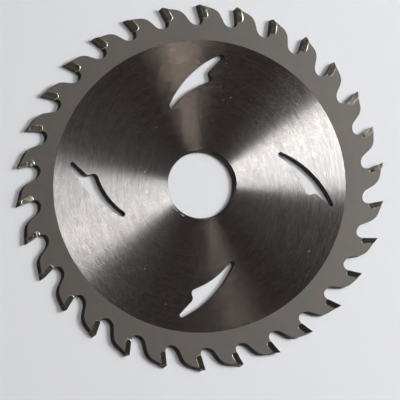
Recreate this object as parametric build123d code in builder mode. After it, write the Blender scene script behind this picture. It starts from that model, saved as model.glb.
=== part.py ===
from build123d import *

import math
import os

# A carbide tipped circular saw blade of the 110 mm size, for a 20 mm arbor.
# The origin is the centre of the bore on the middle plane of the plate. +Z runs along the
# bore towards the side that is seen, and the teeth cut as the blade turns anticlockwise.

# Whole blade
outer_radius = 54.75
tooth_count = 30
first_tooth_angle = 6.9
plate_thickness = 1.2
kerf = 1.6

# Arbor bore
bore_radius = 10.0
bore_chamfer = 0.35

# Carbide tips: the face, the sloping top and the ground flanks
hook_angle = 15.0
clearance_angle = 20.0
bevel_angle = 9.0
flank_inward_angle = 1.2
flank_rearward_angle = 1.5
grinding_stock = 0.6

# Wedge shape of a tip, whose back leans away from the face and whose heel falls to the back
tip_length = 4.3
tip_thickness = 1.25
back_lean = 4.5
heel_fall = 35.0
heel_round = 0.85

# Braze film between a tip and its seat
braze_gap = 0.12

# Plate behind a tip, which slopes away from it more gently than a circle
shoulder_slope = 18.3
shoulder_drop = 0.14
shoulder_length = 4.25
shoulder_overrun = 3.0

# Gullets: depth, width of the flat floor and the rounds from the root to the back
gullet_radius = 48.25
gullet_width = 3.22
root_round = 1.6
floor_round = 2.9
back_round = 4.4

# Hooked slots: a long outer side, a shorter inner side that stops at a step, and a tail.
# The two sides are arcs, each swept from its outer end by start angle and extent.
slot_count = 4
outer_side_centre = (-17.37, -12.16)
outer_side_radius = 29.5
outer_side_sweep = (-66.4, 43.0)
inner_side_centre = (-8.99, -11.01)
inner_side_radius = 21.1
inner_side_sweep = (-75.2, 39.4)
step_foot = (-2.44, -33.97)
tail_neck = (-6.25, -38.05)
step_head_round = 1.4
step_foot_round = 1.6
slot_end_sagitta = 0.78
slot_tail_sagitta = 0.69

# Angles and radii that follow from the sizes above
tooth_pitch = 360 / tooth_count
blank_radius = outer_radius - shoulder_drop
seat_heel_round = heel_round + braze_gap
lean = math.tan(math.radians(back_lean))
fall = math.tan(math.radians(heel_fall))


def direction(angle):
    """Unit vector at an angle in degrees from X."""
    return Vector(1, 0).rotate(Axis.Z, angle)


def on_tooth(down, behind):
    """Point of a tooth by its distances down the face from the cutting edge and behind the face."""
    cutting_edge = Vector(outer_radius, 0)
    return cutting_edge - direction(hook_angle) * down + direction(hook_angle - 90) * behind


def grown_thickness(grown):
    """Thickness at the cutting edge of a tip whose back has moved out by a length."""
    return tip_thickness + grown / math.cos(math.radians(back_lean))


def grown_length(grown):
    """Length of the cutting face of a tip whose heel has moved out by a length."""
    return tip_length + grown / math.cos(math.radians(heel_fall))


def back_at(down, grown=0):
    """Point on the back of a tip, or of one that has grown, level with a place on its face."""
    return on_tooth(down, grown_thickness(grown) + down * lean)


def heel_front(grown=0):
    """Point where the heel of a tip, or of one that has grown, meets the cutting face."""
    return on_tooth(grown_length(grown), 0)


def heel_corner(grown=0):
    """Sharp corner where the back and the heel would meet without their round."""
    length = grown_length(grown)
    behind = (grown_thickness(grown) + lean * length) / (1 - lean * fall)
    return on_tooth(length + fall * behind, behind)


def tooth_plane(number):
    """Middle plane of one tooth, whose X runs out through the cutting edge."""
    outwards = direction(first_tooth_angle + number * tooth_pitch)
    return Plane(origin=(0, 0, 0), x_dir=outwards, z_dir=(0, 0, 1))


# Ledge of the seat, which is flush with the cutting face
ledge_front = heel_front(braze_gap)

# Shoulder behind the seat
top_drop = math.tan(math.radians(clearance_angle + hook_angle))
top_back = tip_thickness * top_drop / (1 - lean * top_drop)
shoulder_start = back_at(top_back + shoulder_drop, braze_gap)
shoulder_run = direction(90 - shoulder_slope)
shoulder_end = shoulder_start - shoulder_run * shoulder_length
shoulder_rise = shoulder_start + shoulder_run * shoulder_overrun

# Gullet corners between a ledge and the shoulder of the next tooth
gullet_root = Vector(gullet_radius, ledge_front.Y)
gullet_floor = gullet_root + Vector(0, gullet_width)

# Everything cut away between one seat back and the next, in the plane of the first tooth
with BuildSketch() as tooth_gap:
    with BuildLine():
        FilletPolyline(
            back_at(-shoulder_overrun, braze_gap),
            heel_corner(braze_gap),
            ledge_front,
            gullet_root,
            gullet_floor,
            shoulder_end.rotate(Axis.Z, tooth_pitch),
            shoulder_rise.rotate(Axis.Z, tooth_pitch),
            radius=(0, seat_heel_round, 0, root_round, floor_round, back_round, 0),
            close=True,
        )
    make_face()

# One hooked slot, the lowest one as the blade is seen
with BuildSketch() as slot:
    with BuildLine():
        outer_side = CenterArc(outer_side_centre, outer_side_radius, *outer_side_sweep)
        inner_side = CenterArc(inner_side_centre, inner_side_radius, *inner_side_sweep)
        SagittaArc(outer_side @ 1, inner_side @ 1, -slot_end_sagitta)
        Polyline(inner_side @ 0, step_foot, tail_neck)
        SagittaArc(tail_neck, outer_side @ 0, -slot_tail_sagitta)
    make_face()
    fillet(slot.vertices().sort_by_distance(inner_side @ 0)[0], step_head_round)
    fillet(slot.vertices().sort_by_distance(step_foot)[0], step_foot_round)

with BuildPart() as blade_plate:
    with BuildSketch():
        Circle(blank_radius)
        with PolarLocations(0, tooth_count, first_tooth_angle):
            add(tooth_gap.sketch, mode=Mode.SUBTRACT)
        with PolarLocations(0, slot_count):
            add(slot.sketch, mode=Mode.SUBTRACT)
    extrude(amount=plate_thickness / 2, both=True)
    Hole(bore_radius)
    bore_edges = blade_plate.edges(Select.LAST).filter_by(GeomType.CIRCLE)
    chamfer(bore_edges, bore_chamfer)

# Films of braze down the back of each seat, round its heel and along its ledge
with BuildSketch() as braze_film:
    half_film = braze_gap / 2
    with BuildLine():
        FilletPolyline(
            back_at(top_back + shoulder_drop, half_film),
            heel_corner(half_film),
            heel_front(half_film),
            radius=heel_round + half_film,
        )
    trace(line_width=braze_gap)

with BuildPart() as braze_seams:
    with BuildSketch():
        with PolarLocations(0, tooth_count, first_tooth_angle):
            add(braze_film.sketch)
    extrude(amount=plate_thickness / 2, both=True)


def carbide_tip(number):
    """One tip, bevelled so that its high corner is on the seen side of even numbers only."""
    tooth = tooth_plane(number)
    high_side = 1 if number % 2 == 0 else -1
    inward = math.tan(math.radians(flank_inward_angle))
    rearward = math.tan(math.radians(flank_rearward_angle))
    clearance = math.tan(math.radians(clearance_angle))
    bevel = math.tan(math.radians(bevel_angle))
    with BuildPart() as tip:
        with BuildSketch(tooth):
            with BuildLine():
                FilletPolyline(
                    on_tooth(-grinding_stock, 0),
                    back_at(-grinding_stock),
                    heel_corner(),
                    heel_front(),
                    radius=(0, 0, heel_round, 0),
                    close=True,
                )
            make_face()
        extrude(amount=kerf, both=True)
        for side in (1, -1):
            flank = Plane(
                origin=(outer_radius, 0, side * kerf / 2),
                z_dir=(-inward, -rearward, side),
            )
            split(bisect_by=Plane(tooth * flank), keep=Keep.BOTTOM)
        top = Plane(
            origin=(outer_radius, 0, high_side * kerf / 2),
            z_dir=(1, -clearance, -high_side * bevel),
        )
        split(bisect_by=Plane(tooth * top), keep=Keep.BOTTOM)
    return tip


os.makedirs("parts", exist_ok=True)

blade_plate.part.label = "blade_plate"
export_step(blade_plate.part, "parts/blade_plate.step")

braze_seams.part.label = "braze_seams"
export_step(braze_seams.part, "parts/braze_seams.step")

for number in range(tooth_count):
    tip = carbide_tip(number)
    name = f"carbide_tip_{number + 1:02d}"
    tip.part.label = name
    export_step(tip.part, f"parts/{name}.step")
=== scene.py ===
"""Looks of a carbide tipped circular saw blade that lies flat on a plain pale floor.

The solids of the blade are loaded as a fixed frame and keep their shape. This script gives each of
them its finish: ground and sanded steel with a little dust on the plate, sintered carbide on the
tips, bright braze in the seams. It lays small uneven beads of braze beside the tips, and then sets
the floor, the lamps and the camera. Lengths are in millimetres where a name or docstring says so,
and in metres otherwise.
"""

import logging
import math
import random
from collections.abc import Mapping, Sequence
from dataclasses import dataclass
from enum import Enum

import bmesh
import bpy
from mathutils import Matrix, Vector


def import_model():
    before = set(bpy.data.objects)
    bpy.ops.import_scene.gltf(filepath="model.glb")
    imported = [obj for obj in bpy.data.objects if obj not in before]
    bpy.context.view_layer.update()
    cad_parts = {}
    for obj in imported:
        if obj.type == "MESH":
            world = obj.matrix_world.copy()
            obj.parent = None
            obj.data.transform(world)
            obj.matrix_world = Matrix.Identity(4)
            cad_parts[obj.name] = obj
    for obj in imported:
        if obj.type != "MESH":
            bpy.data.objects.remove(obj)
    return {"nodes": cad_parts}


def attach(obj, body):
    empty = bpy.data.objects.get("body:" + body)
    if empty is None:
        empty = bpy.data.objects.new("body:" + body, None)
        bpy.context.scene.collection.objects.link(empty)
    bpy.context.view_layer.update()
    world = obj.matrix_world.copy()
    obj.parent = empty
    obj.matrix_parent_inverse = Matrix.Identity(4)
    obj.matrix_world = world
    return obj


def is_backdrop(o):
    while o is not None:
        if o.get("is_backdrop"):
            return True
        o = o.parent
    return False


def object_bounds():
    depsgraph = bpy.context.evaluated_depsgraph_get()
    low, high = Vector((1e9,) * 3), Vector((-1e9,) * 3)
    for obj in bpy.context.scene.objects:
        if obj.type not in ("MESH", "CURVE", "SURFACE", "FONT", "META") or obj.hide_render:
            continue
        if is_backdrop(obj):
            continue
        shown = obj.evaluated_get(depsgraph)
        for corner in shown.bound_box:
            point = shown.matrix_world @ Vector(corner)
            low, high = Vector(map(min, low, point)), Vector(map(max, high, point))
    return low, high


log = logging.getLogger("saw_blade")

MM = 0.001
ROOT_BODY = "root"

Colour = tuple[float, float, float]
Point = tuple[float, float, float]
Span = tuple[float, float]


class Slot(Enum):
    """Finishes that the record names, one for each kind of piece."""

    STEEL = "blade_steel"
    CARBIDE = "carbide"
    BRAZE = "braze"


class Lights(Enum):
    """Which surfaces a lamp lights."""

    MATTE = "matte"
    GLOSS = "gloss"


def from_above(azimuth: float, elevation: float) -> Vector:
    """Finds a direction from the blade by its angles.

    Args:
        azimuth: angle about the bore, in degrees from +X.
        elevation: angle above the floor, in degrees.

    Returns:
        The unit vector.
    """
    around, up = math.radians(azimuth), math.radians(elevation)
    flat = math.cos(up)
    return Vector((math.cos(around) * flat, math.sin(around) * flat, math.sin(up)))


class Value:
    """A number that varies over a surface. Arithmetic on it adds Math nodes."""

    def __init__(self, graph: "Graph", socket: bpy.types.NodeSocket) -> None:
        """Wraps an output socket of a graph."""
        self.graph = graph
        self.socket = socket

    def _math(self, operation: str, first: "Number", second: "Number") -> "Value":
        """Adds one Math node on two values."""
        return self.graph.value("ShaderNodeMath", {"operation": operation}, {0: first, 1: second})

    def __add__(self, other: "Number") -> "Value":
        """Sum with a value or number."""
        return self._math("ADD", self, other)

    __radd__ = __add__

    def __sub__(self, other: "Number") -> "Value":
        """This value less another."""
        return self._math("SUBTRACT", self, other)

    def __rsub__(self, other: "Number") -> "Value":
        """A number less this value."""
        return self._math("SUBTRACT", other, self)

    def __mul__(self, other: "Number") -> "Value":
        """Product with a value or number."""
        return self._math("MULTIPLY", self, other)

    __rmul__ = __mul__

    def __gt__(self, other: "Number") -> "Value":
        """1 where this value is the greater, and 0 elsewhere."""
        return self._math("GREATER_THAN", self, other)

    def __abs__(self) -> "Value":
        """Size of this value without its sign."""
        return self.graph.value("ShaderNodeMath", {"operation": "ABSOLUTE"}, {0: self})

    def ease(self, start: float, end: float) -> "Value":
        """Eases from 0 to 1 while this value goes from start to end.

        Args:
            start, end: where the change starts and ends.

        Returns:
            The eased value.
        """
        settings = {"interpolation_type": "SMOOTHSTEP"}
        sockets = {"Value": self, "From Min": start, "From Max": end}
        return self.graph.value("ShaderNodeMapRange", settings, sockets)


Number = Value | float
Input = Value | bpy.types.NodeSocket | float | Sequence[float]


class Graph:
    """The nodes of one material or of the world."""

    def __init__(self, tree: bpy.types.NodeTree) -> None:
        """Starts with an empty tree."""
        self.tree = tree
        self.tree.nodes.clear()

    def node(
        self,
        kind: str,
        settings: Mapping[str, object] | None = None,
        sockets: Mapping[str | int, Input] | None = None,
    ) -> bpy.types.Node:
        """Adds a node.

        Args:
            kind: the node's type.
            settings: its properties, by name.
            sockets: numbers, colours or links for its inputs, by name or index.

        Returns:
            The new node.
        """
        made = self.tree.nodes.new(kind)
        for name, setting in (settings or {}).items():
            setattr(made, name, setting)
        for name, given in (sockets or {}).items():
            self._feed(made.inputs[name], given)
        return made

    def value(
        self,
        kind: str,
        settings: Mapping[str, object] | None = None,
        sockets: Mapping[str | int, Input] | None = None,
        output: str | int = 0,
    ) -> Value:
        """Adds a node.

        Args:
            kind, settings, sockets: what the node is made from.
            output: name or index of the output that is wanted.

        Returns:
            That output as a value.
        """
        return Value(self, self.node(kind, settings, sockets).outputs[output])

    def vector(
        self, operation: str, first: Input, second: Input | None = None
    ) -> bpy.types.NodeSocket:
        """Adds a Vector Math node that makes a vector.

        Args:
            operation: what it does.
            first, second: its vectors.

        Returns:
            The socket of the new vector.
        """
        sockets = {0: first} if second is None else {0: first, 1: second}
        return self.node("ShaderNodeVectorMath", {"operation": operation}, sockets).outputs[0]

    def scaled(self, vector: Input, factor: Input) -> bpy.types.NodeSocket:
        """Vector made longer by a factor."""
        sockets = {0: vector, "Scale": factor}
        return self.node("ShaderNodeVectorMath", {"operation": "SCALE"}, sockets).outputs[0]

    def length(self, vector: Input) -> Value:
        """Length of a vector."""
        return self.value("ShaderNodeVectorMath", {"operation": "LENGTH"}, {0: vector}, "Value")

    def along(self, vector: Input, towards: Vector) -> Value:
        """How far a vector goes towards a direction."""
        sockets = {0: vector, 1: tuple(towards)}
        return self.value("ShaderNodeVectorMath", {"operation": "DOT_PRODUCT"}, sockets, "Value")

    def mix(self, factor: Input, first: Input, second: Input) -> bpy.types.NodeSocket:
        """Mixes two colours, whose sockets a Mix node keeps at 6 and 7 and the result at 2.

        Args:
            factor: how much of the second colour is taken.
            first, second: the colours.

        Returns:
            The socket of the mixed colour.
        """
        sockets = {0: factor, 6: first, 7: second}
        return self.node("ShaderNodeMix", {"data_type": "RGBA"}, sockets).outputs[2]

    def noise(self, place: Input, scale: float, octaves: float) -> Value:
        """Smooth noise from about 0 to 1.

        Args:
            place: the vector that it is read at.
            scale: its frequency for each unit of that vector.
            octaves: how many finer octaves it holds.

        Returns:
            The noise.
        """
        sockets = {"Vector": place, "Scale": scale, "Detail": octaves}
        return self.value("ShaderNodeTexNoise", {}, sockets)

    def bump(self, depth: float, height: Input) -> bpy.types.NodeSocket:
        """Normal of a surface with marks of a height from 0 to 1 and a depth in millimetres."""
        sockets = {"Distance": depth * MM, "Height": height}
        return self.node("ShaderNodeBump", {}, sockets).outputs[0]

    def surface(self, sockets: Mapping[str, Input]) -> bpy.types.NodeSocket:
        """Adds a Principled shader."""
        return self.node("ShaderNodeBsdfPrincipled", {}, sockets).outputs[0]

    def layered(
        self, share: Input, under: bpy.types.NodeSocket, over: bpy.types.NodeSocket
    ) -> bpy.types.NodeSocket:
        """Shows one shader over another where its share is 1."""
        return self.node("ShaderNodeMixShader", {}, {0: share, 1: under, 2: over}).outputs[0]

    def close(self, shader: bpy.types.NodeSocket) -> None:
        """Links a finished shader to the material's output."""
        self.node("ShaderNodeOutputMaterial", {}, {"Surface": shader})

    def _feed(self, socket: bpy.types.NodeSocket, given: Input) -> None:
        """Links or sets one input socket.

        Args:
            socket: the input.
            given: a link, a number, a vector or a colour for it.
        """
        if isinstance(given, Value):
            self.tree.links.new(given.socket, socket)
        elif isinstance(given, bpy.types.NodeSocket):
            self.tree.links.new(given, socket)
        elif isinstance(given, (int, float)):
            socket.default_value = given
        elif len(given) == 3 and len(socket.default_value) == 4:
            socket.default_value = (*given, 1.0)
        else:
            socket.default_value = given


def new_material(name: str) -> tuple[bpy.types.Material, Graph]:
    """Makes an empty material.

    Args:
        name: the material's name.

    Returns:
        The material and the graph that fills it.
    """
    material = bpy.data.materials.new(name)
    material.use_nodes = True
    return material, Graph(material.node_tree)


def position(graph: Graph) -> bpy.types.NodeSocket:
    """Place on the object in millimetres, in the object's own axes."""
    place = graph.node("ShaderNodeTexCoord").outputs["Object"]
    return graph.scaled(place, 1 / MM)


def flattened(graph: Graph, place: Input, centre: Point) -> bpy.types.NodeSocket:
    """Flat vector from a centre to a place."""
    offset = graph.vector("SUBTRACT", place, centre)
    return graph.vector("MULTIPLY", offset, (1.0, 1.0, 0.0))


def levelness(graph: Graph) -> Value:
    """How level a face is: 1 on the two flat sides of the blade and 0 on an upright wall."""
    normal = graph.node("ShaderNodeTexCoord").outputs["Normal"]
    return abs(graph.value("ShaderNodeSeparateXYZ", {}, {0: normal}, "Z"))


@dataclass(frozen=True)
class Rings:
    """Marks that run in rings about a centre. Lengths in millimetres.

    Attributes:
        pitch: width of one mark.
        arcs: how many marks a ring holds in one radian, whatever its radius.
        octaves: how many finer octaves the marks hold.
    """

    pitch: float
    arcs: float
    octaves: float = 2.0

    def marks(self, graph: Graph, spoke: bpy.types.NodeSocket) -> Value:
        """Makes the marks.

        Args:
            graph: the graph that they are part of.
            spoke: flat vector from the centre of the rings.

        Returns:
            Noise in rings, from about 0 to 1.
        """
        around = graph.scaled(graph.vector("NORMALIZE", spoke), self.arcs)
        rise = graph.length(spoke) * (1 / self.pitch)
        outwards = graph.node("ShaderNodeCombineXYZ", {}, {"Z": rise}).outputs[0]
        return graph.noise(graph.vector("ADD", around, outwards), 1.0, self.octaves)


@dataclass(frozen=True)
class Blotches:
    """Soft patches. Lengths in millimetres.

    Attributes:
        size: width of one patch.
        levels: levels of the noise at which a patch fades in and is whole.
        octaves: how many finer octaves its outline holds.
    """

    size: float
    levels: Span
    octaves: float = 2.0

    def marks(self, graph: Graph, place: bpy.types.NodeSocket) -> Value:
        """1 on a patch and 0 off it."""
        return graph.noise(place, 1 / self.size, self.octaves).ease(*self.levels)


@dataclass(frozen=True)
class Specks:
    """Scattered round specks. Lengths in millimetres.

    Attributes:
        cell: width of the room that each speck has.
        size: radius of a speck as a share of its cell.
        share: how many of the cells hold one, from 0 to 1.
    """

    cell: float
    size: float
    share: float

    def marks(self, graph: Graph, place: bpy.types.NodeSocket) -> Value:
        """Makes the specks.

        Args:
            graph: the graph that they are part of.
            place: place on the object in millimetres.

        Returns:
            1 on a speck and 0 off it.
        """
        sockets = {"Vector": place, "Scale": 1 / self.cell}
        cells = graph.node("ShaderNodeTexVoronoi", {}, sockets)
        draw = graph.value("ShaderNodeSeparateColor", {}, {0: cells.outputs["Color"]})
        off = Value(graph, cells.outputs["Distance"]).ease(self.size / 2, self.size)
        return (1 - off) * (draw > 1 - self.share)


@dataclass(frozen=True)
class ScuffGlint:
    """A short broken arc beside the bore: a scuff left by a flange, drawn pale only around one azimuth
    where it catches the light, so partly a painted glint. Lengths in millimetres.

    Attributes:
        radius: radius of the arc about the bore.
        width: how far it fades to either side.
        azimuth: angle of its middle, where the glint is painted, in degrees.
        ends: how far places on it lie towards its middle, first where it ends, then where it is whole.
        gaps: patches that the arc is broken into.
    """

    radius: float = 10.92
    width: float = 0.22
    azimuth: float = 230.0
    ends: Span = (10.6, 10.75)
    gaps: Blotches = Blotches(size=1 / 1.1, levels=(0.36, 0.46), octaves=1.0)

    def marks(self, graph: Graph, place: bpy.types.NodeSocket) -> Value:
        """Makes the arc.

        Args:
            graph: the graph that it is part of.
            place: place on the plate in millimetres.

        Returns:
            1 on the arc and 0 off it.
        """
        reach = graph.length(place)
        inside = reach.ease(self.radius - self.width, self.radius)
        outside = reach.ease(self.radius, self.radius + self.width)
        along = graph.along(place, from_above(self.azimuth, 0.0))
        line = inside * (1 - outside) * self.gaps.marks(graph, place)
        return line * along.ease(*self.ends)


@dataclass(frozen=True)
class GroundMiddle:
    """Steel ground in rings, which draw every reflection out into fans. Lengths in millimetres.

    Attributes:
        radius, softness: how far it reaches and how far its edge fades to either side.
        turn: share of a full turn by which the highlights are turned, so that they cross the rings.
        lines, line_depth: fine marks that bend the reflections.
        grooves, groove_share: coarser marks and how deep they are beside the lines.
        scratches, streaks, streak_share: dull marks and how far the broad ones make them up.
        dull_levels: levels of those marks at which they are dull and bright.
        dullness: how much darker the dull marks are.
    """

    radius: float = 43.7
    softness: float = 0.12
    colour: Colour = (0.337, 0.326, 0.320)
    roughness: float = 0.19
    anisotropy: float = 1.0
    turn: float = 0.25
    lines: Rings = Rings(pitch=0.09, arcs=12.0, octaves=1.0)
    line_depth: float = 0.0105
    grooves: Rings = Rings(pitch=0.35, arcs=60.0, octaves=1.0)
    groove_share: float = 0.4
    scratches: Rings = Rings(pitch=0.24, arcs=26.0)
    streaks: Rings = Rings(pitch=0.9, arcs=4.0)
    streak_share: float = 0.3
    dull_levels: Span = (0.40, 0.60)
    dullness: float = 0.33

    def share(self, graph: Graph, spoke: bpy.types.NodeSocket) -> Value:
        """1 on the ground middle and 0 on the rim."""
        reach = graph.length(spoke)
        return 1 - reach.ease(self.radius - self.softness, self.radius + self.softness)

    def shader(self, graph: Graph, spoke: bpy.types.NodeSocket) -> bpy.types.NodeSocket:
        """Builds the shader of the ground steel.

        Args:
            graph: the graph that it is part of.
            spoke: flat vector from the centre of the rings.

        Returns:
            The socket of the shader.
        """
        scratches = self.scratches.marks(graph, spoke) * (1 - self.streak_share)
        streaks = self.streaks.marks(graph, spoke) * self.streak_share
        bright = (scratches + streaks).ease(*self.dull_levels)
        dull = tuple((1 - self.dullness) * level for level in self.colour)
        grooves = self.grooves.marks(graph, spoke) * self.groove_share
        height = self.lines.marks(graph, spoke) + grooves
        sockets = {
            "Base Color": graph.mix(bright, dull, self.colour),
            "Metallic": 1.0,
            "Roughness": self.roughness,
            "Anisotropic": self.anisotropy,
            "Anisotropic Rotation": self.turn,
            "Normal": graph.bump(self.line_depth, height),
        }
        return graph.surface(sockets)


@dataclass(frozen=True)
class RimAndWalls:
    """Sanded rim, cut walls and the bevel of the bore. Lengths in millimetres.

    Attributes:
        warm_tint, warm: colour and patches of the warm parts of the rim.
        green_tint, green: colour and patches of the greenish parts.
        aside: how far the greenish patches and the pits are moved off the warm ones.
        stain: how bright the stained parts of a wall are beside the plain ones.
        wall_levels: how level a face is where it still is a wall and where it no longer is one.
        bevel_from, bevel_to: how level a face is where the bevel begins and where it ends.
    """

    colour: Colour = (0.105, 0.098, 0.091)
    warm_tint: Colour = (0.115, 0.097, 0.091)
    warm: Blotches = Blotches(size=4.5, levels=(0.45, 0.65))
    green_tint: Colour = (0.098, 0.099, 0.087)
    green: Blotches = Blotches(size=4.5, levels=(0.48, 0.68))
    pit_colour: Colour = (0.05, 0.045, 0.04)
    pits: Specks = Specks(cell=4.2, size=0.07, share=0.25)
    aside: Point = (71.0, 13.0, 0.0)
    roughness: float = 0.35
    lines: Rings = Rings(pitch=0.5, arcs=9.0)
    line_depth: float = 0.006

    wall_colour: Colour = (0.070, 0.060, 0.056)
    wall_stains: Blotches = Blotches(size=1.2, levels=(0.35, 0.65), octaves=3.0)
    stain: float = 0.6
    wall_roughness: float = 0.5
    wall_levels: Span = (0.1, 0.5)
    bevel_colour: Colour = (0.060, 0.054, 0.050)
    bevel_from: Span = (0.5, 0.65)
    bevel_to: Span = (0.76, 0.9)

    def shader(
        self, graph: Graph, place: Input, spoke: bpy.types.NodeSocket, level: Value
    ) -> bpy.types.NodeSocket:
        """Shader of the rim, of the walls and of the bevel.

        Args:
            graph: the graph that it is part of.
            place: place on the plate in millimetres.
            spoke: flat vector from the centre of the rings.
            level: how level the face is.

        Returns:
            The socket of the shader.
        """
        stained = tuple(self.stain * part for part in self.wall_colour)
        wall = graph.mix(self.wall_stains.marks(graph, place), self.wall_colour, stained)
        upright = 1 - level.ease(*self.wall_levels)
        sloping = level.ease(*self.bevel_from) * (1 - level.ease(*self.bevel_to))
        colour = graph.mix(upright, self._rim_colour(graph, place), wall)
        sockets = {
            "Base Color": graph.mix(sloping, colour, self.bevel_colour),
            "Metallic": 1.0,
            "Roughness": upright * (self.wall_roughness - self.roughness) + self.roughness,
            "Normal": graph.bump(self.line_depth, self.lines.marks(graph, spoke)),
        }
        return graph.surface(sockets)

    def _rim_colour(self, graph: Graph, place: Input) -> bpy.types.NodeSocket:
        """Mixes the colour of the rim.

        Args:
            graph: the graph that it is part of.
            place: place on the plate in millimetres.

        Returns:
            The socket of a grey with faint warm and greenish blotches and a few dark pits.
        """
        aside = graph.vector("ADD", place, self.aside)
        colour = graph.mix(self.warm.marks(graph, place), self.colour, self.warm_tint)
        colour = graph.mix(self.green.marks(graph, aside), colour, self.green_tint)
        return graph.mix(self.pits.marks(graph, aside), colour, self.pit_colour)


@dataclass(frozen=True)
class PlateSteel:
    """Finish of the plate: ground middle, rim and walls, with dust on top and a scuff that is drawn
    pale only at the lower left of the bore, a painted glint.

    Attributes:
        grinding_centre: centre of the rings that the grinding left, in millimetres.
        middle_levels, scuff_glint_levels: how level a face is where the ground middle or the scuff
            with its painted glint
        first shows on it and where it is whole.
    """

    grinding_centre: Point = (-0.6, -0.1, 0.0)
    middle: GroundMiddle = GroundMiddle()
    middle_levels: Span = (0.8, 0.95)
    edge: RimAndWalls = RimAndWalls()
    dust: Specks = Specks(cell=3.2, size=0.04, share=0.4)
    dust_colour: Colour = (0.50, 0.48, 0.45)
    dust_roughness: float = 1.0
    scuff_glint: ScuffGlint = ScuffGlint()
    scuff_glint_levels: Span = (0.9, 0.98)

    def material(self) -> bpy.types.Material:
        """Builds the material.

        Returns:
            The new material.
        """
        made, graph = new_material(Slot.STEEL.value)
        place = position(graph)
        spoke = flattened(graph, place, self.grinding_centre)
        level = levelness(graph)
        middle = self.middle.shader(graph, spoke)
        edge = self.edge.shader(graph, place, spoke, level)
        share = self.middle.share(graph, spoke) * level.ease(*self.middle_levels)
        metal = graph.layered(share, edge, middle)
        sockets = {"Base Color": self.dust_colour, "Roughness": self.dust_roughness}
        pale = graph.surface(sockets)
        # The scuff is a real mark, but it is painted pale only where it catches the light: a painted
        # glint.
        scuff_glint = self.scuff_glint.marks(graph, place) * level.ease(*self.scuff_glint_levels)
        marks = self.dust.marks(graph, place) + scuff_glint
        graph.close(graph.layered(marks, metal, pale))
        return made


@dataclass(frozen=True)
class Carbide:
    """Finish of the tips: sintered carbide, ground in rings about the bore. In millimetres."""

    colour: Colour = (0.096, 0.090, 0.066)
    dark_colour: Colour = (0.076, 0.073, 0.060)
    dark: Blotches = Blotches(size=0.9, levels=(0.35, 0.65))
    roughness: float = 0.20
    lines: Rings = Rings(pitch=0.05, arcs=6.0, octaves=0.0)
    line_depth: float = 0.016
    grinding_centre: Point = (0.0, 0.0, 0.0)

    def material(self) -> bpy.types.Material:
        """Builds the material.

        Returns:
            The new material.
        """
        made, graph = new_material(Slot.CARBIDE.value)
        place = position(graph)
        dark = self.dark.marks(graph, place)
        lines = self.lines.marks(graph, flattened(graph, place, self.grinding_centre))
        sockets = {
            "Base Color": graph.mix(dark, self.colour, self.dark_colour),
            "Metallic": 1.0,
            "Roughness": self.roughness,
            "Normal": graph.bump(self.line_depth, lines),
        }
        graph.close(graph.surface(sockets))
        return made


@dataclass(frozen=True)
class Braze:
    """Finish of the seams and beads: silver braze, tarnished in patches. In millimetres."""

    colour: Colour = (0.86, 0.80, 0.68)
    tarnish: Colour = (0.42, 0.28, 0.17)
    patches: Blotches = Blotches(size=0.8, levels=(0.52, 0.66), octaves=3.0)
    roughness: float = 0.24
    tarnish_roughness: float = 0.44

    def material(self) -> bpy.types.Material:
        """Builds the material.

        Returns:
            The new material.
        """
        made, graph = new_material(Slot.BRAZE.value)
        patches = self.patches.marks(graph, position(graph))
        rougher = self.tarnish_roughness - self.roughness
        sockets = {
            "Base Color": graph.mix(patches, self.colour, self.tarnish),
            "Metallic": 1.0,
            "Roughness": patches * rougher + self.roughness,
        }
        graph.close(graph.surface(sockets))
        return made


@dataclass(frozen=True)
class Seat:
    """Outline of a tip's seat in the plane of the plate. Lengths in millimetres, angles in degrees.

    Places on a tooth are given by their distances down the cutting face and behind it.
    """

    outer_radius: float = 54.75
    hook_angle: float = 15.0
    tip_length: float = 4.3
    tip_thickness: float = 1.25
    back_lean: float = 4.5
    heel_fall: float = 35.0
    heel_round: float = 0.85
    seam_width: float = 0.12
    shoulder: float = 1.1

    def route(self, steps: int) -> list[tuple[Vector, Vector]]:
        """Follows the seam from the shoulder down the back, round the heel and along the ledge.

        Args:
            steps: how many equal stretches the route is cut into.

        Returns:
            Pairs of a place in the plane of the blade and the unit vector away from the tip.
        """
        lean, fall = (math.tan(math.radians(angle)) for angle in (self.back_lean, self.heel_fall))
        half = self.seam_width / 2
        thickness = self.tip_thickness + half / math.cos(math.radians(self.back_lean))
        length = self.tip_length + half / math.cos(math.radians(self.heel_fall))
        behind = (thickness + lean * length) / (1 - lean * fall)
        top = self._on_tooth(self.shoulder, thickness + self.shoulder * lean)
        corner = self._on_tooth(length + fall * behind, behind)
        front = self._on_tooth(length, 0.0)
        return rounded_route(top, corner, front, self.heel_round + half, steps)

    def _on_tooth(self, down: float, behind: float) -> Vector:
        """Finds a point of the first tooth, before it is turned.

        Args:
            down: distance down the cutting face from the cutting edge.
            behind: distance behind the cutting face.

        Returns:
            Its place in the plane of the blade.
        """
        edge = Vector((self.outer_radius, 0.0, 0.0))
        backwards = from_above(self.hook_angle - 90, 0.0)
        return edge - from_above(self.hook_angle, 0.0) * down + backwards * behind


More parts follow.
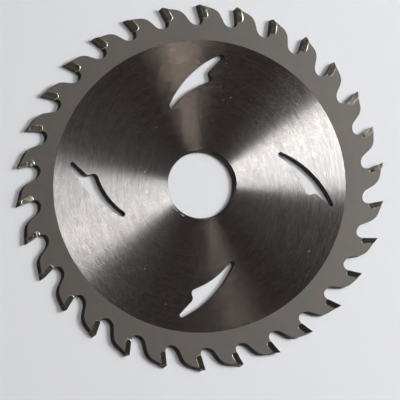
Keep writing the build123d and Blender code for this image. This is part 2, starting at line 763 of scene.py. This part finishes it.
def rounded_route(
    start: Vector, corner: Vector, end: Vector, radius: float, steps: int
) -> list[tuple[Vector, Vector]]:
    """Evenly spaced places along two straight runs that are joined by a round.

    Args:
        start, corner, end: the ends of the runs, in the plane of the blade.
        radius: size of the round.
        steps: how many equal stretches the route is cut into.

    Returns:
        Pairs of a place and the unit vector away from the inside of the bend.
    """
    first, second = (corner - start).normalized(), (end - corner).normalized()
    turn = first.angle(second)
    cut = radius * math.tan(turn / 2)
    side = -1.0 if first.cross(second).z > 0 else 1.0
    outwards = Vector((-first.y, first.x, 0.0)) * side
    runs = ((corner - start).length - cut, radius * turn, (end - corner).length - cut)
    centre = corner - first * cut - outwards * radius
    places = []
    for step in range(steps + 1):
        gone = sum(runs) * step / steps
        if gone <= runs[0]:
            places.append((start + first * gone, outwards))
            continue
        bent = min(gone - runs[0], runs[1]) / radius
        away = Matrix.Rotation(-side * bent, 3, "Z") @ outwards
        place = centre + away * radius + second * max(0.0, gone - runs[0] - runs[1])
        places.append((place, away))
    return places


@dataclass
class BrazeBeads:
    """Uneven fillets of braze beside every tip, on both faces of the plate. In millimetres.

    Attributes:
        finish: the material of the beads.
        seat: outline that they follow.
        width, height: size of a plain bead.
        sunk: how deep its base lies in the plate.
        steps: how many stretches a bead has.
        seed: what the unevenness is drawn from.
        unevenness: how far beads differ from the plain size and along their length.
        least_swell, highest_swell: limits of that difference, of which the second is for height.
        lump_length: length of one lump of a bead.
        waves: how many waves are laid over each other to make the lumps.
        end_taper: how blunt a bead ends, from 0 for square to 1 for a long taper.
        profile: pairs of a place across the bead and the height there, as shares of its size.
    """

    finish: bpy.types.Material
    seat: Seat = Seat()
    tooth_count: int = 30
    first_tooth_angle: float = 6.9
    plate_thickness: float = 1.2
    width: float = 0.12
    height: float = 0.045
    sunk: float = 0.03
    unevenness: float = 0.35
    least_swell: float = 0.3
    highest_swell: float = 1.3
    lump_length: float = 0.9
    waves: int = 3
    end_taper: float = 0.35
    steps: int = 32
    seed: int = 7
    profile: Sequence[tuple[float, float]] = (
        (-0.2, 1.0),
        (0.05, 0.97),
        (0.25, 0.80),
        (0.45, 0.55),
        (0.65, 0.30),
        (0.85, 0.10),
        (1.0, 0.0),
    )

    def build(self) -> bpy.types.Object:
        """Makes all the beads as one piece.

        Returns:
            The piece.
        """
        beads = bmesh.new()
        draw = random.Random(self.seed)
        for number in range(self.tooth_count):
            angle = math.radians(self.first_tooth_angle + number * 360 / self.tooth_count)
            turn = Matrix.Rotation(angle, 3, "Z")
            route = [(turn @ place, turn @ away) for place, away in self.seat.route(self.steps)]
            for side in (1, -1):
                self._add_bead(beads, route, side, draw)
        bmesh.ops.recalc_face_normals(beads, faces=beads.faces)
        mesh = bpy.data.meshes.new("braze_beads")
        beads.to_mesh(mesh)
        beads.free()
        mesh.shade_smooth()
        mesh.materials.append(self.finish)
        piece = bpy.data.objects.new("braze_beads", mesh)
        bpy.context.scene.collection.objects.link(piece)
        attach(piece, ROOT_BODY)
        log.info("braze_beads: %d beads, %d faces", 2 * self.tooth_count, len(mesh.polygons))
        return piece

    def _add_bead(
        self,
        beads: bmesh.types.BMesh,
        route: Sequence[tuple[Vector, Vector]],
        side: int,
        draw: random.Random,
    ) -> None:
        """Adds one closed bead along a seam.

        Args:
            beads: the mesh that it goes into.
            route: places along the seam with the direction away from the tip.
            side: 1 on the seen face of the plate and -1 on the other.
            draw: source of the bead's own unevenness.
        """
        size = draw.uniform(1 - self.unevenness, 1 + self.unevenness)
        phases = [draw.uniform(0, math.tau) for _ in range(self.waves)]
        stretch = (route[1][0] - route[0][0]).length
        loops = []
        for step, (place, away) in enumerate(route):
            lumps = self._lumps(step * stretch / self.lump_length, phases)
            ends = math.sin(math.pi * (step + 0.5) / len(route)) ** self.end_taper
            swell = max(self.least_swell, size + self.unevenness * lumps) * ends
            loops.append(self._section(beads, place, away, side, swell))
        for first, second in zip(loops, loops[1:]):
            for k in range(len(first)):
                after = (k + 1) % len(first)
                beads.faces.new((first[k], first[after], second[after], second[k]))
        beads.faces.new(loops[0])
        beads.faces.new(loops[-1])

    @staticmethod
    def _lumps(along: float, phases: Sequence[float]) -> float:
        """Adds up the waves that make a bead lumpy.

        Args:
            along: place along the bead, counted in lumps.
            phases: where each wave starts, in radians.

        Returns:
            Height of the lumps there, from about -1 to 1.
        """
        return sum(
            math.sin(math.tau * along * (wave + 1) / 2 + phase) / (wave + 2)
            for wave, phase in enumerate(phases)
        )

    def _section(
        self, beads: bmesh.types.BMesh, place: Vector, away: Vector, side: int, swell: float
    ) -> list[bmesh.types.BMVert]:
        """Adds one cross section of a bead, sunk a little into the plate.

        Args:
            beads: the mesh that it goes into.
            place, away: where it stands and the direction away from the tip.
            side: 1 on the seen face of the plate and -1 on the other.
            swell: its size beside that of a plain bead.

        Returns:
            Its corners in order.
        """
        inner, outer = self.profile[0][0], self.profile[-1][0]
        rising = min(swell, self.highest_swell)
        outline = [(across, rise * self.height * rising) for across, rise in self.profile]
        outline += [(outer, -self.sunk), (inner, -self.sunk)]
        corners = []
        for across, rise in outline:
            spot = place + away * (across * self.width * swell)
            height = side * (self.plate_thickness / 2 + rise)
            corners.append(beads.verts.new(Vector((spot.x, spot.y, height)) * MM))
        return corners


@dataclass
class Blade:
    """The saw blade: every solid of the frame, dressed by what it is made of."""

    nodes: Mapping[str, bpy.types.Object]
    plate: str = "blade_plate"
    plate_finish: PlateSteel = PlateSteel()
    tip_prefix: str = "carbide_tip_"
    tip_finish: Carbide = Carbide()
    seams: str = "braze_seams"
    seam_finish: Braze = Braze()

    def dress(self) -> None:
        """Gives each solid its material and adds the beads of braze."""
        braze = self.seam_finish.material()
        self._assign([self.plate], self.plate_finish.material())
        self._assign([self.seams], braze)
        tips = sorted(name for name in self.nodes if name.startswith(self.tip_prefix))
        self._assign(tips, self.tip_finish.material())
        BrazeBeads(braze).build()

    def _assign(self, names: Sequence[str], material: bpy.types.Material) -> None:
        """Puts one material in every slot of some solids.

        Args:
            names: the nodes of the solids.
            material: the material.
        """
        for name in names:
            slots = self.nodes[name].material_slots
            for slot in slots:
                slot.material = material
            log.info("%s wears %s in %d slot(s)", name, material.name, len(slots))


@dataclass
class Floor:
    """The plain pale floor that the blade lies on."""

    top: float
    half_width: float = 6.0
    colour: Colour = (0.825, 0.838, 0.865)
    roughness: float = 0.9

    def build(self) -> bpy.types.Object:
        """Makes the floor.

        Returns:
            The floor.
        """
        mesh = bpy.data.meshes.new("floor")
        sheet = bmesh.new()
        bmesh.ops.create_grid(sheet, x_segments=1, y_segments=1, size=self.half_width)
        bmesh.ops.translate(sheet, verts=sheet.verts, vec=(0.0, 0.0, self.top))
        sheet.to_mesh(mesh)
        sheet.free()
        floor = bpy.data.objects.new("floor", mesh)
        bpy.context.scene.collection.objects.link(floor)
        material, graph = new_material("pale_floor")
        graph.close(graph.surface({"Base Color": self.colour, "Roughness": self.roughness}))
        mesh.materials.append(material)
        floor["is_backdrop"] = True
        log.info("floor: %.0f m wide", 2 * self.half_width)
        return floor


@dataclass(frozen=True)
class Lamp:
    """One soft rectangular lamp that faces the blade. Angles in degrees, lengths in metres.

    Attributes:
        lights: which surfaces it lights.
        azimuth, elevation, distance: where it hangs.
        width, height: its size.
        power: its power in watts.
        turn: azimuth that its width runs along, at a right angle to its own if left out.
    """

    name: str
    lights: Lights
    azimuth: float
    elevation: float
    distance: float
    width: float
    height: float
    power: float
    colour: Colour
    turn: float | None = None

    def build(self) -> bpy.types.Object:
        """Makes the lamp.

        Returns:
            The lamp.
        """
        light = bpy.data.lights.new(self.name, "AREA")
        light.shape = "RECTANGLE"
        light.size = self.width
        light.size_y = self.height
        light.energy = self.power
        light.color = self.colour
        lamp = bpy.data.objects.new(self.name, light)
        lamp.visible_diffuse = self.lights is Lights.MATTE
        lamp.visible_glossy = self.lights is Lights.GLOSS
        turn = self.azimuth + 90 if self.turn is None else self.turn
        towards = from_above(self.azimuth, self.elevation)
        upwards = towards.cross(from_above(turn, 0.0)).normalized()
        axes = Matrix((upwards.cross(towards), upwards, towards)).transposed().to_4x4()
        lamp.matrix_world = Matrix.Translation(towards * self.distance) @ axes
        bpy.context.scene.collection.objects.link(lamp)
        log.info("%s: %s lamp of %.2f W", self.name, self.lights.value, self.power)
        return lamp


def fill_lamp(name: str, azimuth: float) -> Lamp:
    """Plans a broad dim lamp that brightens the steel in views from one other side.

    Args:
        name: the lamp's name.
        azimuth: angle of its place, in degrees.

    Returns:
        The lamp, not yet made.
    """
    return Lamp(
        name,
        Lights.GLOSS,
        azimuth=azimuth,
        elevation=30.0,
        distance=2.2,
        width=1.60,
        height=0.90,
        power=4.5,
        colour=(1.0, 0.98, 0.96),
    )


@dataclass
class Studio:
    """Daylight on the floor, two window panes that the steel mirrors in fans, and a dim room.

    The fills are dim and show only in reflections. They brighten the steel from some other sides,
    while from between them it stays nearly black.
    """

    lamps: Sequence[Lamp] = (
        Lamp(
            "overhead",
            Lights.MATTE,
            azimuth=103.0,
            elevation=82.6,
            distance=1.5,
            width=0.62,
            height=0.42,
            power=5.0,
            colour=(0.97, 0.99, 1.0),
            turn=106.0,
        ),
        Lamp(
            "near_pane",
            Lights.GLOSS,
            azimuth=21.2,
            elevation=21.0,
            distance=4.5,
            width=0.44,
            height=0.30,
            power=93.0,
            colour=(0.99, 1.0, 1.0),
        ),
        Lamp(
            "far_pane",
            Lights.GLOSS,
            azimuth=27.1,
            elevation=21.0,
            distance=4.5,
            width=0.44,
            height=0.30,
            power=98.0,
            colour=(1.0, 0.99, 0.97),
        ),
        Lamp(
            "glow",
            Lights.GLOSS,
            azimuth=17.0,
            elevation=22.0,
            distance=1.6,
            width=0.95,
            height=0.5,
            power=2.4,
            colour=(1.0, 0.93, 0.90),
        ),
        Lamp(
            "side",
            Lights.MATTE,
            azimuth=8.0,
            elevation=48.0,
            distance=0.85,
            width=0.42,
            height=0.42,
            power=5.8,
            colour=(1.0, 1.0, 1.0),
        ),
        Lamp(
            "warm_lamp",
            Lights.GLOSS,
            azimuth=48.6,
            elevation=37.0,
            distance=1.5,
            width=0.05,
            height=0.30,
            power=0.70,
            colour=(1.0, 0.84, 0.72),
            turn=14.0,
        ),
        Lamp(
            "brown_glow",
            Lights.GLOSS,
            azimuth=48.2,
            elevation=36.6,
            distance=1.5,
            width=1.00,
            height=0.30,
            power=0.07,
            colour=(1.0, 0.45, 0.28),
            turn=14.0,
        ),
        Lamp(
            "top_fill",
            Lights.GLOSS,
            azimuth=30.0,
            elevation=88.0,
            distance=1.5,
            width=0.40,
            height=0.40,
            power=1.3,
            colour=(1.0, 0.98, 0.96),
        ),
        fill_lamp("left_fill", 130.0),
        fill_lamp("back_fill", 220.0),
        fill_lamp("right_fill", 310.0),
    )
    room_colour: Colour = (0.082, 0.070, 0.068)

    def build(self) -> None:
        """Makes the lamps and the world."""
        for lamp in self.lamps:
            lamp.build()
        world = bpy.data.worlds.new("room")
        world.use_nodes = True
        graph = Graph(world.node_tree)
        background = graph.node("ShaderNodeBackground", {}, {"Color": self.room_colour})
        graph.node("ShaderNodeOutputWorld", {}, {"Surface": background.outputs[0]})
        scene = bpy.context.scene
        scene.world = world
        scene.view_settings.view_transform = "Standard"


@dataclass
class PictureCamera:
    """Camera that sees the blade from its lower left, with the picture squared up to the plate.

    The blade's outline is a true circle in the picture although the walls on one side show, as in a
    view at a slant that was squared up. So the rays come from the side, while the picture's own
    axes stay almost in the plane of the plate. Lengths in millimetres, angles in degrees.

    Attributes:
        azimuth, lean, distance: where the camera stands, with its lean away from upright.
        aim: the place that it looks at.
        right, up: the picture's own axes.
    """

    azimuth: float = 208.2
    lean: float = 42.1
    distance: float = 900.0
    aim: Point = (-0.62, -4.70, 0.6)
    right: Point = (1.0, -0.0278, 0.0696)
    up: Point = (-0.1624, 1.0, 0.2044)
    focal_length: float = 284.9
    sensor_width: float = 36.0

    def build(self) -> bpy.types.Object:
        """Makes the camera and the stand that it hangs from.

        Returns:
            The camera.
        """
        scene = bpy.context.scene
        data = bpy.data.cameras.new("camera")
        data.lens = self.focal_length
        data.sensor_width = self.sensor_width
        camera = bpy.data.objects.new("camera", data)
        stand = bpy.data.objects.new("camera_stand", None)
        scene.collection.objects.link(camera)
        scene.collection.objects.link(stand)
        camera.parent = stand
        camera.matrix_parent_inverse = self._placement()
        scene.camera = camera
        log.info("camera: %.0f mm lens from azimuth %.1f", self.focal_length, self.azimuth)
        return camera

    def _placement(self) -> Matrix:
        """Works out where the camera stands and how the picture lies.

        Returns:
            Its place and axes in metres, which aren't square to each other.
        """
        eye = from_above(self.azimuth, 90 - self.lean) * self.distance
        backwards = (eye - Vector(self.aim)).normalized()
        axes = (Vector(self.right).normalized(), Vector(self.up).normalized(), backwards)
        placement = Matrix.Translation(eye * MM)
        for column, axis in enumerate(axes):
            for row in range(3):
                placement[row][column] = axis[row]
        return placement


def main() -> None:
    """Loads the frame, dresses the blade and sets it in its light."""
    logging.basicConfig(level=logging.INFO, format="%(name)s: %(message)s")
    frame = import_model()
    cad_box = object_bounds()
    PictureCamera().build()
    Blade(frame["nodes"]).dress()
    Floor(top=cad_box[0].z).build()
    Studio().build()


if __name__ == "__main__":
    main()
